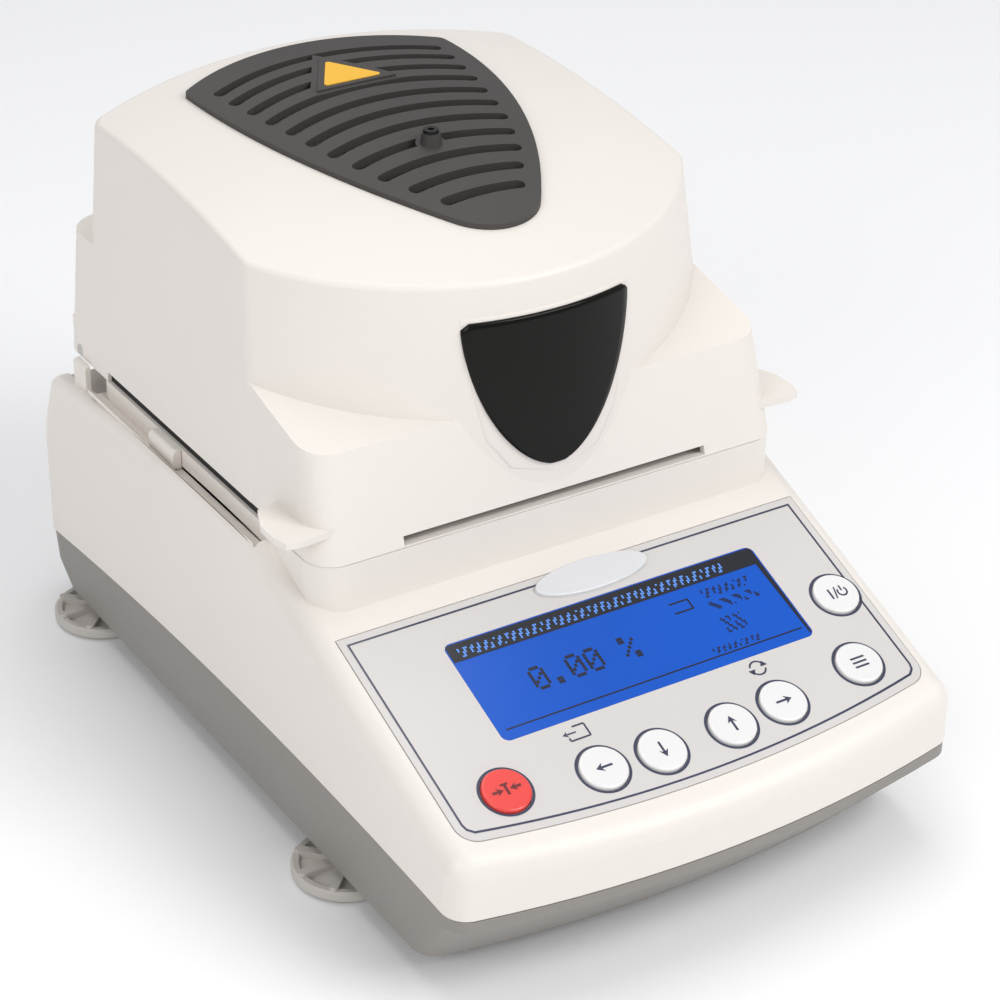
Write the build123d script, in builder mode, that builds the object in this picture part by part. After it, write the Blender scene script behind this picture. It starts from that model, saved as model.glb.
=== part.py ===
"""Moisture analyzer: a bench balance with a hinged heating head.

Z is up, the panel faces -Y and X runs across. The origin lies on the bench, under
the middle of the instrument.
"""
import os
from math import cos, radians, sin, sqrt, tan
from build123d import *

os.makedirs("parts", exist_ok=True)

# Housing: two mouldings that meet at an arched seam
wall = 3.0                    # wall of every moulding
floor_z = 11.0                # underside of the tray above the bench
tray_half = 105.5             # half width of the tray at the seam
tray_draft = 1.2              # the tray is narrower by this at its floor
front_y = -170.5              # foremost point of the bowed front
rear_y = 170.5
front_bow = 11.8              # the front falls back by this from its middle to its sides
undercut = 22.5               # the tray's floor starts this far behind the front
undercut_z = 36.0             # top of the slanted undercut
seam_front_z = 39.5
seam_mid_z = 43.3
seam_rear_z = 33.0
seam_gap = 0.5                # shadow gap between the mouldings
tongue = 3.0                  # rim of the tray that stands inside the housing
tongue_t = 2.0
fit_gap = 0.1                 # clearance of a seated piece
plan_front_r = 9.5            # corner radii in plan
plan_rear_r = 15.0

# Sloping panel
panel_tilt = 21.0
panel_y = -81.2               # the panel passes through this point
panel_z = 94.0
nose_r = 10.0                 # rounding from the panel into the front
ridge_r = 3.5
shoulder_half = 106.0
shoulder_top_y = -23.0        # the panel plane ends here on the shoulders
shoulder_rear_y = 133.6
shoulder_rear_z = 110.2
rear_wall_edge = (147.5, 109.4)   # y and z of the corners of the slanted rear face
rear_wall_top = (157.5, 85.0)
rear_wall_low = (170.4, 33.0)
deck_z = 121.6                # top of the chamber block, under the head
riser_y = -57.2               # front of the chamber block
block_half = 98.4
block_r = 12.0
deck_rear_y = 122.0
recess_z = 113.0              # bottom of the recess beside the block
recess_front_y = -19.0
recess_half = 104.2
port_wall_y = 150.0           # back of the connector pocket
port_pocket_x = -20.0
port_pocket_w = 130.0
port_pocket_low = 44.0
port_pocket_high = 80.0
inlet_x = -55.0
inlet_z = 62.0
inlet_w = 47.0
inlet_h = 27.0
serial_x = 15.0
serial_w = 20.0
serial_h = 11.0

# Panel furniture, measured down the slope from the display's top edge
overlay_half = 97.5
overlay_top = 15.3            # above the display's top edge
overlay_low = 84.3            # below it, in the middle
overlay_bow = 8.9
film = 0.8
film_gap = 0.4
lcd_x = 2.5
lcd_w = 132.0
lcd_h = 44.3
lcd_r = 3.0
key_disc_r = 8.8
key_hole_gap = 0.3
key_ring_r = 10.0
key_travel = 0.7
key_proud = 1.4
badge_x = 4.2
badge_up = 9.3
badge_w = 47.5
badge_h = 14.0
keys = {
    "key_power": (86.5, 31.6),
    "key_menu": (76.0, 61.8),
    "key_right": (39.3, 66.1),
    "key_up": (16.1, 67.8),
    "key_down": (-13.7, 68.1),
    "key_left": (-37.1, 66.8),
    "key_tare": (-73.6, 62.4),
}

# Drying chamber and weighing system
well_y = 32.0
well_r = 72.0
well_floor_z = 92.0
support_hole_r = 7.0
dish_r = 70.0
draft_ring_r = 60.0
draft_ring_h = 18.0
pan_r = 46.0
pan_z = 104.0
pan_rim_h = 4.0
post_r = 4.0
cell_l = 130.0
cell_w = 30.0
cell_h = 22.0
cell_z = 26.0

# Heating head
parting = 0.3                 # gap between the deck and the head
head_half = 98.4
head_front_r = 11.0
head_rear_r = 15.0
dome_corner_r = 8.0
corner_step = 0.15            # the square corners stand back from the side faces
head_front_y = -57.2
head_front_lean = 14.7
head_rear_y = 154.0
head_rear_lean = 3.2
ledge_front_y = -46.0
ledge_front_z = 160.5
ledge_rise = 13.2
ledge_apex_y = -2.3
ledge_rear_z = 173.0
dome_front_y = -55.8          # front of the rounded body at the parting plane
dome_front_corner_y = -9.8
dome_rear_y = 153.5
dome_rear_corner_y = 130.0
dome_front_run = 8.5          # the front and rear walls lean in over dome_span
dome_corner_run = 18.1
dome_rear_run = 7.5
dome_rear_corner_run = 5.0
dome_span = 118.3
dome_side_run = 7.77
crown_r = 560.0               # the top is part of a ball
crown_y = 103.8
crown_z = 230.5
rim_r = 2.5
side_gap_z = 125.6            # lower edge of the head's sides
side_gap_front_y = -13.5
side_gap_rear_y = 134.6
slot_half = 64.1              # air slot over the panel
slot_low_z = 122.4
slot_high_z = 125.9
tab_t = 2.6                   # lifting tabs
tab_top_z = 135.0
hinge_y = 136.3
hinge_z = 124.1
pin_r = 2.5
pin_run = 0.06
ear_in = 83.0
ear_out = 93.5
ear_r = 6.0
lug_in = 94.3
trough_r = 20.0
visor_top_half = 34.3
visor_top_z = 197.0
visor_low_z = 134.5
visor_proud = 1.2
visor_seat = 1.6
grille_proud = 2.0
grille_seat = 1.5
grille_half = 56.5
grille_corner_y = 118.0
grille_back_y = 136.3
grille_mid_half = 41.2
grille_mid_y = 29.0
grille_tip_half = 18.5
grille_tip_side_y = -13.3
grille_tip_y = -23.5
grille_land = 5.0             # the grille rests on this much of the shell all round
slot_w = 5.0
slot_r = 100.0
slot_first_y = 107.5
slot_pitch = 11.17
slot_halves = [46.8, 46.2, 44.5, 42.8, 40.4, 38.3, 35.5, 31.6, 27.4, 21.3, 14.8]
label_side = 25.4
label_base_y = 88.8
label_t = 0.3
label_land = 5.0
boss_y = 32.0
boss_r = 4.2
bulkhead_z = 146.0
bulkhead_t = 2.0
glass_r = 60.0
glass_t = 3.0
screw_r = 1.6
boss_z = 227.0
reflector_half = 68.0
reflector_h = 36.0
lamp_half = 54.0
lamp_r = 5.0
lamp_z = 166.0
lamp_pitch = 50.0
handler_r = 50.0

# Inside the tray and behind the panel
board_x = 10.0
board_y = -85.0
board_w = 140.0
board_d = 84.0
board_z = 20.0
power_x = -60.0
power_y = 52.0
power_w = 50.0
power_d = 84.0
socket_w = 27.0
socket_h = 20.0
drawer_w = 12.0
drawer_h = 20.0
drawer_run = 0.08
module_depth = 3.2
board_depth = 12.0

# Screw feet
foot_x = 94.0
foot_front_y = -66.0
foot_rear_y = 138.0
foot_r = 21.0
foot_rim_h = 5.0
foot_hub_r = 6.0
foot_sole_r = 18.0
foot_sole_t = 2.0
foot_sole_show = 0.6
foot_ribs = 8
stud_r = 4.0
stud_run = 0.08
boss_top_z = 30.0
post_top_z = 35.0
foot_gap = 0.3

slope = radians(panel_tilt)
panel = Plane(
    origin=(0, panel_y, panel_z), x_dir=(1, 0, 0), z_dir=(0, -sin(slope), cos(slope))
)

panel_normal = Axis((0, panel_y, panel_z), (0, -sin(slope), cos(slope)))


def panel_at(depth):
    """Plane parallel to the panel, this far below its surface."""
    return panel.offset(-depth)


def slope_z(y):
    """Height of the panel plane at a y."""
    return panel_z + (y - panel_y) * tan(slope)


def plan_outline(z, half, front, corner, rear, front_r, rear_r):
    """Plan of the instrument at one height: bowed front, straight sides and rear."""
    with BuildSketch(Plane.XY.offset(z)) as outline:
        with BuildLine():
            ThreePointArc((-half, corner), (0, front), (half, corner))
            Polyline((half, corner), (half, rear), (-half, rear), (-half, corner))
        make_face()
        fillet(outline.vertices().group_by(Axis.Y)[0], radius=front_r)
        fillet(outline.vertices().group_by(Axis.Y)[-1], radius=rear_r)
    return outline.sketch


def tray_form(inset):
    """Solid outer form of the tray, or its inside when inset by the wall."""
    stations = [
        (floor_z, undercut, tray_draft, 11.0),
        (floor_z + 9, undercut * 0.64, 0.75 * tray_draft, 1.0),
        (undercut_z, 0, 0, 0),
        (seam_mid_z + 8, 0, 0, 0),
    ]
    sections = [
        plan_outline(
            z + (inset if z == floor_z else 0), tray_half - inset - side,
            front_y + back + inset, front_y + front_bow + back + inset,
            rear_y - inset - rear, plan_front_r, plan_rear_r,
        )
        for z, back, side, rear in stations
    ]
    with BuildPart() as form:
        loft(sections=sections, ruled=True)
    return form.part


def above_seam(lift):
    """Everything above the arched seam raised by lift."""
    with BuildPart() as region:
        with BuildSketch(Plane.YZ) as side:
            with BuildLine():
                ThreePointArc(
                    (front_y - 20, seam_front_z - 0.8 + lift), (20.8, seam_mid_z + lift),
                    (rear_y + 20, seam_rear_z - 2.4 + lift),
                )
                Polyline(
                    (rear_y + 20, seam_rear_z - 2.4 + lift), (rear_y + 20, 300),
                    (front_y - 20, 300), (front_y - 20, seam_front_z - 0.8 + lift),
                )
            make_face()
        extrude(amount=200, both=True)
    return region.part


def foot_places():
    """Centres of the four feet with their names."""
    return {
        "front_left": (-foot_x, foot_front_y),
        "front_right": (foot_x, foot_front_y),
        "rear_left": (-foot_x, foot_rear_y),
        "rear_right": (foot_x, foot_rear_y),
    }


def above(z):
    """Everything above a height."""
    with BuildPart() as region:
        with BuildSketch(Plane.XY.offset(z)):
            Rectangle(500, 500)
        extrude(amount=300)
    return region.part


def behind(y):
    """Everything behind a y."""
    with BuildPart() as region:
        with BuildSketch(Plane.XZ.offset(-y)):
            Rectangle(500, 500)
        extrude(amount=-100)
    return region.part


def prism(outline, amount):
    """Straight prism on a sketch."""
    with BuildPart() as body:
        extrude(to_extrude=outline, amount=amount)
    return body.part


over_seam = above_seam(0)
tray_root = (tray_form(wall - 0.5) - tray_form(wall + tongue_t) - over_seam) & above(28)
tray_tongue = tray_form(wall + fit_gap) - tray_form(wall + tongue_t) - above_seam(tongue)
tray_tongue = (tray_tongue & above(28)) - behind(rear_y - 16)
screw_posts = [(-88, -92), (88, -92), (-88, 100), (88, 100)]

# The tray carries the feet, the boards and the load cell
with BuildPart() as lower_tray:
    add(tray_form(0))
    add(tray_form(wall), mode=Mode.SUBTRACT)
    add(over_seam, mode=Mode.SUBTRACT)
    add(tray_root)
    add(tray_tongue)
    # Bosses for the screw feet, with a ring under each
    with BuildSketch(Plane.XY.offset(floor_z)):
        with Locations(*foot_places().values()):
            Circle(stud_r + 4)
    extrude(amount=boss_top_z - floor_z)
    # Posts that take the screws from below
    with BuildSketch(Plane.XY.offset(floor_z)):
        with Locations(*screw_posts):
            Circle(4.5)
    extrude(amount=post_top_z - floor_z)
    # Posts under the boards
    with BuildSketch(Plane.XY.offset(floor_z + wall - 0.5)):
        with Locations((board_x, board_y)):
            with GridLocations(board_w - 10, board_d - 10, 2, 2):
                Circle(3)
        with Locations((power_x, power_y)):
            with GridLocations(power_w - 10, power_d - 10, 2, 2):
                Circle(3)
    extrude(amount=board_z - floor_z - wall + 0.5)
    # Stiffening ribs across the floor
    with BuildSketch(Plane.XY.offset(floor_z + wall - 0.01)):
        with Locations((0, -110), (0, -20)):
            Rectangle(2 * (tray_half - wall) - 8, 2)
    extrude(amount=5)
    with BuildSketch(Plane.XY.offset(floor_z - 1)):
        with Locations(*foot_places().values()):
            Circle(stud_r + stud_run)
    extrude(amount=boss_top_z - floor_z + 5, mode=Mode.SUBTRACT)
    with BuildSketch(Plane.XY.offset(floor_z - 1)):
        with Locations(*screw_posts):
            Circle(1.6)
    extrude(amount=40, mode=Mode.SUBTRACT)
    with BuildSketch(Plane.XY.offset(floor_z)):
        with Locations(*screw_posts):
            Circle(3.2)
    extrude(amount=4, mode=Mode.SUBTRACT)
    # Cooling slots in the floor behind the transformer
    with BuildSketch(Plane.XY.offset(floor_z - 1)):
        with Locations((-50, 122)):
            with GridLocations(0, 8, 1, 5):
                SlotOverall(40, 3)
    extrude(amount=wall + 2, mode=Mode.SUBTRACT)
lower_tray.part.label = "lower_tray"
export_step(lower_tray.part, "parts/lower_tray.step")


def side_profile(inset):
    """Profile of the upper housing seen from the side, down past the seam."""
    with BuildSketch(Plane.YZ) as profile:
        with BuildLine():
            Polyline(
                (shoulder_rear_y, shoulder_rear_z), rear_wall_edge, rear_wall_top,
                rear_wall_low, (rear_y - 0.1, 25), (front_y, 25),
                (front_y, slope_z(front_y)),
                (shoulder_top_y, slope_z(shoulder_top_y)),
            )
            ThreePointArc(
                (shoulder_top_y, slope_z(shoulder_top_y)), (45, 117.2),
                (shoulder_rear_y, shoulder_rear_z),
            )
        make_face()
        if inset:
            offset(amount=-inset, kind=Kind.INTERSECTION)
    return profile.sketch


def housing_plan(inset):
    """Plan of the upper housing."""
    return plan_outline(
        20, shoulder_half - inset, front_y + inset, front_y + front_bow + inset,
        rear_y - inset, plan_front_r, plan_rear_r,
    )


def housing_inside():
    """Space inside the housing, under the panel, the shoulders and the deck."""
    with BuildPart() as inside:
        extrude(to_extrude=side_profile(wall), amount=shoulder_half + 10, both=True)
        extrude(to_extrude=housing_plan(wall), amount=200, mode=Mode.INTERSECT)
        extrude(to_extrude=housing_plan(wall), amount=14)
        with BuildSketch(Plane.XY.offset(60)):
            with Locations((0, (riser_y + deck_rear_y) / 2)):
                Rectangle(2 * (block_half - wall), deck_rear_y - riser_y - 2 * wall)
            fillet(vertices(), radius=block_r - wall)
        extrude(amount=deck_z - wall - 60)
        with BuildSketch(Plane.YZ):
            with Locations((hinge_y, hinge_z)):
                Circle(trough_r + wall)
        extrude(amount=shoulder_half, both=True, mode=Mode.SUBTRACT)
        # Solid round the connector pocket
        with BuildSketch(Plane.XZ.offset(-port_wall_y + wall)):
            with Locations((port_pocket_x, (port_pocket_low + port_pocket_high) / 2)):
                Rectangle(
                    port_pocket_w + 2 * wall, port_pocket_high - port_pocket_low + 2 * wall
                )
        extrude(amount=-40, mode=Mode.SUBTRACT)
    return inside.part


def overlay_outline(inset):
    """Panel film in the panel plane: square at the top, bowed at the bottom."""
    with BuildSketch() as outline:
        half = overlay_half - inset
        with BuildLine():
            Polyline(
                (-half, -overlay_low + overlay_bow + inset), (-half, overlay_top - inset),
                (half, overlay_top - inset), (half, -overlay_low + overlay_bow + inset),
            )
            ThreePointArc(
                (half, -overlay_low + overlay_bow + inset), (0, -overlay_low + inset),
                (-half, -overlay_low + overlay_bow + inset),
            )
        make_face()
        fillet(outline.vertices().group_by(Axis.Y)[0], radius=8 - inset)
    return outline.sketch


housing_cavity = housing_inside()

with BuildPart() as upper_housing:
    extrude(to_extrude=side_profile(0), amount=shoulder_half + 10, both=True)
    extrude(to_extrude=housing_plan(0), amount=200, mode=Mode.INTERSECT)
    nose = upper_housing.edges().filter_by_position(Axis.Y, front_y - 1, -150)
    fillet(nose.filter_by_position(Axis.Z, 55, 68), radius=nose_r)
    ridge = upper_housing.edges().filter_by_position(Axis.Z, 55, 130)
    ridge = ridge.filter_by(lambda e: abs(abs(e.center().X) - shoulder_half) < 0.01)
    fillet(ridge.filter_by_position(Axis.Y, front_y, 145), radius=ridge_r)
    # Chamber block behind the panel
    with BuildSketch(Plane.XY.offset(80)) as block_plan:
        with Locations((0, (riser_y + deck_rear_y) / 2)):
            Rectangle(2 * block_half, deck_rear_y - riser_y)
        fillet(block_plan.vertices(), radius=block_r)
    extrude(amount=deck_z - 80)
    # Recess along each side of the block
    with BuildSketch(Plane.XZ.offset(-recess_front_y)) as recess:
        for side in (-1, 1):
            with BuildLine():
                Polyline(
                    (side * recess_half, 125), (side * block_half, 125),
                    (side * block_half, recess_z), (side * (block_half + 2.5), recess_z),
                )
                ThreePointArc(
                    (side * (block_half + 2.5), recess_z),
                    (side * (recess_half - 0.7), recess_z + 2), (side * recess_half, 125),
                )
            make_face()
    extrude(amount=-(deck_rear_y - recess_front_y + 20), mode=Mode.SUBTRACT)
    # Trough that the rear wall of the head swings through
    with BuildSketch(Plane.YZ):
        with Locations((hinge_y, hinge_z)):
            Circle(trough_r)
    extrude(amount=block_half + 0.6, both=True, mode=Mode.SUBTRACT)
    add(above_seam(seam_gap), mode=Mode.INTERSECT)
    # Hollow, with the skin of the trough left whole
    add(housing_cavity, mode=Mode.SUBTRACT)
    # Pocket for the connectors in the slanted rear face
    with BuildSketch(Plane.XZ.offset(-port_wall_y)) as port_pocket:
        with Locations((port_pocket_x, (port_pocket_low + port_pocket_high) / 2)):
            Rectangle(port_pocket_w, port_pocket_high - port_pocket_low)
        fillet(port_pocket.vertices(), radius=3)
    extrude(amount=-30, mode=Mode.SUBTRACT)
    with BuildSketch(Plane.XZ.offset(-port_wall_y + wall + 1)):
        with Locations((inlet_x, inlet_z)):
            Rectangle(inlet_w, inlet_h)
        with Locations((serial_x, inlet_z)):
            Rectangle(serial_w, serial_h)
    extrude(amount=-wall - 2, mode=Mode.SUBTRACT)
    # Bosses that the tray's screws reach
    for x, y in screw_posts:
        top = slope_z(y) - 2 if y < riser_y else deck_z - 2
        with BuildSketch(Plane.XY.offset(post_top_z + fit_gap)):
            with Locations((x, y)):
                Circle(4.5)
                Circle(1.55, mode=Mode.SUBTRACT)
        extrude(amount=top - post_top_z - fit_gap)
    # Drying chamber: a round cup that hangs from the deck
    with BuildSketch(Plane.XY.offset(well_floor_z - wall)):
        with Locations((0, well_y)):
            Circle(well_r + wall)
    extrude(amount=deck_z - well_floor_z + wall)
    with BuildSketch(Plane.XY.offset(well_floor_z)):
        with Locations((0, well_y)):
            Circle(well_r)
    extrude(amount=50, mode=Mode.SUBTRACT)
    with BuildSketch(Plane.XY.offset(well_floor_z - wall - 1)):
        with Locations((0, well_y)):
            Circle(support_hole_r)
    extrude(amount=wall + 2, mode=Mode.SUBTRACT)
    # Seat of the panel film, display opening and key holes
    with BuildSketch(panel):
        add(overlay_outline(-film_gap))
    extrude(amount=-film, mode=Mode.SUBTRACT)
    with BuildSketch(panel):
        with Locations((lcd_x, -lcd_h / 2)):
            RectangleRounded(lcd_w - 6, lcd_h - 6, lcd_r)
        with Locations(*[(x, -s) for x, s in keys.values()]):
            Circle(key_disc_r + key_hole_gap)
    extrude(amount=-wall - 3, mode=Mode.SUBTRACT)
upper_housing.part.label = "upper_housing"
export_step(upper_housing.part, "parts/upper_housing.step")


def bow_inset(half, low, high, inset):
    """Middle and end of an arc through (0, low) and (half, high), moved inwards."""
    rise = high - low
    radius = (half**2 + rise**2) / (2 * rise)
    centre = low + radius
    return centre - radius + inset, centre - sqrt((radius - inset) ** 2 - (half - inset) ** 2)


def dome_outline(z, inset):
    """Plan of the rounded body of the head at one height."""
    rise = (z - deck_z - parting) / dome_span
    half = head_half - dome_side_run * rise
    front, corner = bow_inset(
        half, dome_front_y + dome_front_run * rise,
        dome_front_corner_y + dome_corner_run * rise, inset,
    )
    back, back_corner = bow_inset(
        half, -dome_rear_y + dome_rear_run * rise,
        -dome_rear_corner_y + dome_rear_corner_run * rise, inset,
    )
    half -= inset
    with BuildSketch(Plane.XY.offset(z)) as outline:
        with BuildLine():
            ThreePointArc((-half, corner), (0, front), (half, corner))
            Line((half, corner), (half, -back_corner))
            ThreePointArc((half, -back_corner), (0, -back), (-half, -back_corner))
            Line((-half, -back_corner), (-half, corner))
        make_face()
        fillet(outline.vertices(), radius=dome_corner_r - inset)
    return outline.sketch


def block_outline(z, inset):
    """Plan of the square lower body of the head at one height."""
    rise = z - deck_z - parting
    half = head_half - corner_step - dome_side_run / dome_span * rise - inset
    front = head_front_y + tan(radians(head_front_lean)) * rise + inset
    back = head_rear_y - tan(radians(head_rear_lean)) * rise - inset
    with BuildSketch(Plane.XY.offset(z)) as outline:
        with Locations((0, (front + back) / 2)):
            Rectangle(2 * half, back - front)
        fillet(outline.vertices().group_by(Axis.Y)[0], radius=head_front_r - inset)
        fillet(outline.vertices().group_by(Axis.Y)[-1], radius=head_rear_r - inset)
    return outline.sketch


def ledge_profile(inset):
    """Side profile of the ledges on the square body."""
    apex_z = ledge_front_z + (ledge_apex_y - ledge_front_y) * tan(radians(ledge_rise))
    with BuildSketch(Plane.YZ) as profile:
        with BuildLine():
            Polyline(
                (-90, 60), (-90, ledge_front_z - 10 - inset),
                (ledge_front_y, ledge_front_z - inset), (ledge_apex_y, apex_z - inset),
                (60, ledge_rear_z - inset), (200, ledge_rear_z - inset), (200, 60), (-90, 60),
            )
        make_face()
    return profile.sketch


def head_dome(inset, foot, rim=0):
    """Rounded body with its ball-shaped top and rounded rim."""
    with BuildPart() as dome:
        loft(
            sections=[dome_outline(foot, inset), dome_outline(deck_z + dome_span, inset)],
            ruled=True,
        )
        with Locations((0, crown_y, crown_z - crown_r)):
            Sphere(crown_r - inset, rotation=(90, 0, 0), mode=Mode.INTERSECT)
        if rim:
            fillet(dome.faces().sort_by(Axis.Z)[-1].edges(), radius=rim)
    return dome.part


def head_block(inset, foot):
    """Square body under the ledges."""
    with BuildPart() as block:
        loft(sections=[block_outline(foot, inset), block_outline(190, inset)], ruled=True)
        extrude(to_extrude=ledge_profile(inset), amount=150, both=True, mode=Mode.INTERSECT)
    return block.part


def visor_outline(grow):
    """Front view of the smoked window."""
    with BuildSketch(Plane.XZ.offset(80)) as outline:
        with BuildLine():
            Polyline(
                (0, visor_low_z), (-18, 138.5), (-27, 151), (-32.2, 176),
                (-visor_top_half, visor_top_z), (visor_top_half, visor_top_z),
                (32.2, 176), (27, 151), (18, 138.5), (0, visor_low_z),
            )
        make_face()
        fillet(outline.vertices().group_by(Axis.Y)[-1], radius=4)
        fillet(outline.vertices().group_by(Axis.Y)[0], radius=20)
        fillet(outline.vertices().filter_by_position(Axis.Y, 137, 140), radius=14)
        if grow:
            offset(amount=grow, kind=Kind.INTERSECTION)
    return outline.sketch


def grille_outline(inset):
    """Plan of the grille: an arched back that narrows to a rounded tip."""
    half = grille_half - inset
    corner = grille_corner_y - 0.5 * inset
    mid = grille_mid_half - inset
    tip_half = grille_tip_half - 0.8 * inset
    tip_side = grille_tip_side_y + 0.6 * inset
    tip = grille_tip_y + inset
    with BuildSketch(Plane.XY.offset(190)) as outline:
        with BuildLine():
            ThreePointArc((-half, corner), (0, grille_back_y - inset), (half, corner))
            ThreePointArc((half, corner), (mid, grille_mid_y), (tip_half, tip_side))
            ThreePointArc((tip_half, tip_side), (0, tip), (-tip_half, tip_side))
            ThreePointArc((-tip_half, tip_side), (-mid, grille_mid_y), (-half, corner))
        make_face()
        fillet(outline.vertices().group_by(Axis.Y)[-1], radius=4)
    return outline.sketch


def ball(lift):
    """Ball whose surface lies this far over the top of the head."""
    with BuildPart() as body:
        with Locations((0, crown_y, crown_z - crown_r)):
            Sphere(crown_r + lift, rotation=(90, 0, 0))
    return body.part


head_outer_dome = head_dome(0, deck_z + parting, rim_r)
head_outer_block = head_block(0, deck_z + parting)
head_inner = head_dome(wall, 100) + head_block(wall, 100)
visor_skin = head_dome(-visor_proud, 125) - head_dome(visor_seat, 120)
visor_skin = visor_skin & prism(visor_outline(0), -90)
visor_pocket = head_dome(-visor_proud - 3, 125) - head_dome(visor_seat + fit_gap, 120)
visor_pocket = visor_pocket & prism(visor_outline(fit_gap), -90)
grille_skin = (prism(grille_outline(0), 60) & ball(grille_proud)) - ball(fit_gap - grille_seat)
grille_pocket = prism(grille_outline(-fit_gap), 60) - ball(-grille_seat)

with BuildPart() as head_shell:
    add(head_outer_dome)
    add(head_outer_block)
    # Lifting tabs at the front corners
    with BuildSketch(Plane.XY.offset(tab_top_z - tab_t)) as tabs:
        for side in (-1, 1):
            with BuildLine():
                Polyline(
                    (side * 93, -24), (side * 101, -27), (side * 106, -27.8),
                    (side * 110.2, -37.9), (side * 110.3, -47.6), (side * 108.6, -53.4),
                    (side * 103.5, -54.5), (side * 84, -52.9), (side * 93, -24),
                )
            make_face()
    extrude(amount=tab_t)
    add(head_inner, mode=Mode.SUBTRACT)
    # Lugs that carry the hinge pins
    for side in (-1, 1):
        with BuildSketch(Plane.YZ.offset(side * lug_in)):
            with Locations((hinge_y - 3, hinge_z + 5)):
                Rectangle(22, 14)
        extrude(amount=side * (head_half - 1.6 - lug_in))
    with BuildSketch(Plane.YZ):
        with Locations((hinge_y, hinge_z)):
            Circle(pin_r + pin_run)
    extrude(amount=120, both=True, mode=Mode.SUBTRACT)
    # Air gaps along the sides and over the panel
    with BuildSketch(Plane.YZ):
        with BuildLine():
            Polyline(
                (side_gap_front_y, 110), (side_gap_front_y, side_gap_z),
                (side_gap_rear_y - 24, side_gap_z), (side_gap_rear_y - 24, 110),
                (side_gap_front_y, 110),
            )
        make_face()
    extrude(amount=120, both=True, mode=Mode.SUBTRACT)
    with BuildSketch(Plane.XZ.offset(-head_front_y - 12)):
        with Locations((0, (slot_low_z + slot_high_z) / 2)):
            Rectangle(2 * slot_half, slot_high_z - slot_low_z)
    extrude(amount=30, mode=Mode.SUBTRACT)
    # Seat of the smoked window
    add(visor_pocket, mode=Mode.SUBTRACT)
    # Seat of the grille and the air outlet under it
    add(grille_pocket, mode=Mode.SUBTRACT)
    extrude(to_extrude=grille_outline(grille_land), amount=60, mode=Mode.SUBTRACT)
head_shell.part.label = "head_shell"
export_step(head_shell.part, "parts/head_shell.step")

with BuildPart() as visor_window:
    add(visor_skin)
visor_window.part.label = "visor_window"
export_step(visor_window.part, "parts/visor_window.step")

with BuildPart() as top_grille:
    add(grille_skin)
    # Curved slots, one behind the other
    with BuildSketch(Plane.XY.offset(200)) as slots:
        for index, half in enumerate(slot_halves):
            y = slot_first_y - index * slot_pitch
            sag = slot_r - sqrt(slot_r**2 - half**2)
            with BuildLine():
                spine = ThreePointArc((-half, y), (0, y + sag), (half, y))
            SlotArc(arc=spine, height=slot_w)
        # Lands left whole for the plate and the screw
        with Locations((0, label_base_y - label_land + 0.5)):
            Triangle(a=label_side + 3.4 * label_land, b=label_side + 3.4 * label_land,
                     c=label_side + 3.4 * label_land, align=(Align.CENTER, Align.MIN),
                     mode=Mode.SUBTRACT)
        with Locations((0, boss_y)):
            Circle(boss_r + 1.5, mode=Mode.SUBTRACT)
    extrude(amount=60, mode=Mode.SUBTRACT)
    # Raised pad under the plate, and the screw's boss
    with BuildSketch(Plane.XY.offset(crown_z - grille_seat)):
        with Locations((0, label_base_y - label_land / 2)):
            Triangle(a=label_side + 1.7 * label_land, b=label_side + 1.7 * label_land,
                     c=label_side + 1.7 * label_land, align=(Align.CENTER, Align.MIN))
    extrude(amount=grille_seat + grille_proud + 0.4)
    with BuildSketch(Plane.XY.offset(boss_z)):
        with Locations((0, boss_y)):
            Circle(boss_r)
    extrude(amount=5, taper=8)
    with BuildSketch(Plane.XY.offset(boss_z - 20)):
        with Locations((0, boss_y)):
            Circle(screw_r + fit_gap)
    extrude(amount=40, mode=Mode.SUBTRACT)
top_grille.part.label = "top_grille"
export_step(top_grille.part, "parts/top_grille.step")

with BuildPart() as top_plate:
    with BuildSketch(Plane.XY.offset(crown_z + grille_proud + 0.4)) as plate_outline:
        with Locations((0, label_base_y)):
            Triangle(a=label_side, b=label_side, c=label_side,
                     align=(Align.CENTER, Align.MIN))
        fillet(plate_outline.vertices(), radius=1.2)
    extrude(amount=label_t)
top_plate.part.label = "top_plate"
export_step(top_plate.part, "parts/top_plate.step")

with BuildPart() as grille_screw:
    with BuildSketch(Plane.XY.offset(boss_z + 5.05)):
        with Locations((0, boss_y)):
            Circle(screw_r + 1.3)
    extrude(amount=1.2)
    with BuildSketch(Plane.XY.offset(boss_z - 3)):
        with Locations((0, boss_y)):
            Circle(screw_r)
    extrude(amount=8.06)
    with BuildSketch(Plane.XY.offset(boss_z + 5.5)):
        with Locations((0, boss_y)):
            RegularPolygon(1.3, 6)
    extrude(amount=2, mode=Mode.SUBTRACT)
grille_screw.part.label = "grille_screw"
export_step(grille_screw.part, "parts/grille_screw.step")

# Heater under the head: bulkhead, glass, reflector, lamps
with BuildPart() as heater_bulkhead:
    add(head_dome(wall + fit_gap, 100) + head_block(wall + fit_gap, 100))
    with BuildSketch(Plane.XY.offset(bulkhead_z)):
        Rectangle(400, 500)
    extrude(amount=bulkhead_t, mode=Mode.INTERSECT)
    with BuildSketch(Plane.XY.offset(bulkhead_z)):
        with Locations((0, well_y)):
            Circle(glass_r - 4)
    extrude(amount=bulkhead_t, mode=Mode.SUBTRACT)
heater_bulkhead.part.label = "heater_bulkhead"
export_step(heater_bulkhead.part, "parts/heater_bulkhead.step")

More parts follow.
